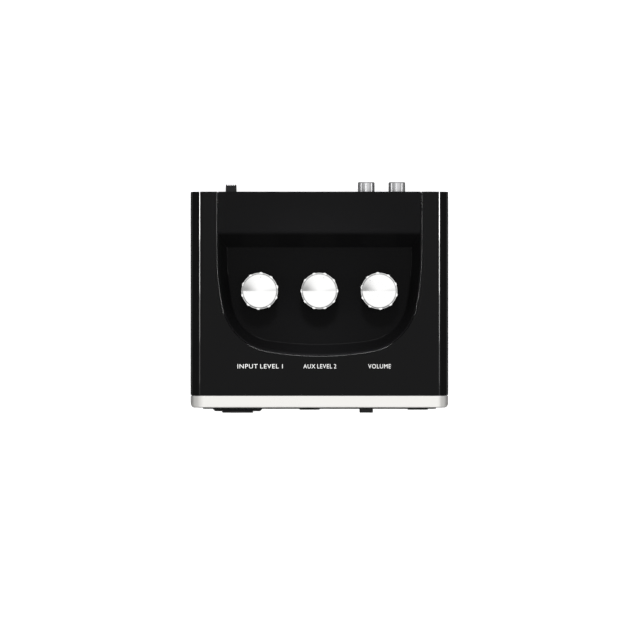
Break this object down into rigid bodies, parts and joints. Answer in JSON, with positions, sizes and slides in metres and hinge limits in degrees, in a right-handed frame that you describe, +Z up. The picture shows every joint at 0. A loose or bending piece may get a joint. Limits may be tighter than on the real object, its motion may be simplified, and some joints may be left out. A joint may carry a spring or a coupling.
{
  "type": "audio interface",
  "caption": "Desktop audio interface with a dished top holding ribbed metal knobs, a silver front frame, microphone and instrument sockets, and rear phono outputs.",
  "frame": {"origin": "centre of the whole outline, on the desk surface under the feet", "axes": "+Z up out of the dished top, -Y towards the front panel with the sockets, +X to the right as seen by someone facing the front panel"},
  "size_m": [0.129, 0.1154, 0.047],
  "materials": {
    "cover_plastic": "satin black moulded plastic, very fine texture",
    "dish_plastic": "semi-gloss black moulded plastic",
    "tray_plastic": "matte black moulded plastic, fine spark texture",
    "bezel_silver": "satin silver with a slightly warm cast",
    "front_panel_black": "gloss black",
    "rear_panel_black": "fine-texture black powder coat",
    "steel_plate": "bright zinc plate",
    "circuit_board": "green solder mask on glass-fibre board",
    "black_housing": "black moulded plastic, semi gloss",
    "combo_core_plastic": "dark grey glass-filled plastic",
    "contact_metal": "gold-flashed contacts and tinned pins",
    "knob_metal": "polished and clear-anodised, bright silver",
    "shaft_steel": "turned steel",
    "pot_case": "zinc-plated pot case",
    "screw_steel": "zinc-plated steel",
    "case_screw_black": "black oxide steel",
    "button_black": "satin black plastic",
    "plunger_white": "white acetal",
    "spring_steel": "spring wire",
    "led_lens": "tinted clear lens",
    "lever_black": "black acetal",
    "rca_plating": "bright nickel plate",
    "rca_white": "white plastic",
    "rca_red": "red plastic",
    "usb_white": "white plastic",
    "chip_black": "moulded epoxy",
    "capacitor_sleeve": "printed aluminium can",
    "crystal_can": "drawn metal can",
    "ferrite": "sintered ferrite",
    "foot_rubber": "black rubber"
  },
  "bodies": {
    "chassis": {"top_cover": "cover_plastic", "control_dish": "dish_plastic", "bottom_tray": "tray_plastic", "front_bezel": "bezel_silver", "front_panel": "front_panel_black", "rear_panel": "rear_panel_black", "security_lock_plate": "steel_plate", "phantom_switch_frame": "steel_plate", "usb_port_shell": "steel_plate", "main_board": "circuit_board", "control_board": "circuit_board", "combo_jack_housing": "black_housing", "instrument_jack_housing": "black_housing", "headphone_jack_housing": "black_housing", "rca_jack_housing": "black_housing", "board_link_header": "black_housing", "board_link_socket": "black_housing", "monitor_switch_housing": "black_housing", "power_led_holder": "black_housing", "combo_jack_core": "combo_core_plastic", "combo_jack_contacts": "contact_metal", "instrument_jack_contacts": "contact_metal", "headphone_jack_contacts": "contact_metal", "usb_port_contacts": "contact_metal", "output_centre_contacts": "contact_metal", "mic_gain_pot": "pot_case", "inst_gain_pot": "pot_case", "output_pot": "pot_case", "pot_nuts": "screw_steel", "main_board_screws": "screw_steel", "control_board_screws": "screw_steel", "case_screws": "case_screw_black", "monitor_switch_spring": "spring_steel", "power_led": "led_lens", "output_left_shell": "rca_plating", "output_right_shell": "rca_plating", "output_left_insulator": "rca_white", "output_right_insulator": "rca_red", "usb_port_insulator": "usb_white", "converter_chip": "chip_black", "usb_controller_chip": "chip_black", "preamp_chips": "chip_black", "electrolytic_capacitors": "capacitor_sleeve", "clock_crystal": "crystal_can", "power_inductor": "ferrite", "foot_front_left": "foot_rubber", "foot_front_right": "foot_rubber", "foot_rear_left": "foot_rubber", "foot_rear_right": "foot_rubber"},
    "mic_gain_control": {"mic_gain_knob": "knob_metal", "mic_gain_shaft": "shaft_steel"},
    "inst_gain_control": {"inst_gain_knob": "knob_metal", "inst_gain_shaft": "shaft_steel"},
    "output_control": {"output_knob": "knob_metal", "output_shaft": "shaft_steel"},
    "phantom_lever": {"phantom_switch_lever": "lever_black"},
    "monitor_button": {"monitor_button_cap": "button_black", "monitor_switch_plunger": "plunger_white"}
  },
  "joints": [
    {"name": "mic_gain_turn", "type": "hinge", "parent": "chassis", "child": "mic_gain_control", "pos_m": [-0.0298, 0.0032, 0.035], "axis": [0, 0, -1], "range_deg": [-150, 150]},
    {"name": "inst_gain_turn", "type": "hinge", "parent": "chassis", "child": "inst_gain_control", "pos_m": [0, 0.0032, 0.035], "axis": [0, 0, -1], "range_deg": [-150, 150]},
    {"name": "output_turn", "type": "hinge", "parent": "chassis", "child": "output_control", "pos_m": [0.0298, 0.0032, 0.035], "axis": [0, 0, -1], "range_deg": [-150, 150]},
    {"name": "phantom_slide", "type": "slide", "parent": "chassis", "child": "phantom_lever", "axis": [1, 0, 0], "range_m": [0, 0.004]},
    {"name": "monitor_press", "type": "slide", "parent": "chassis", "child": "monitor_button", "axis": [0, 1, 0], "range_m": [0, 0.0016], "stiffness_N_per_m": 300, "springref_m": -0.002, "deforming": ["monitor_switch_spring"]}
  ]
}
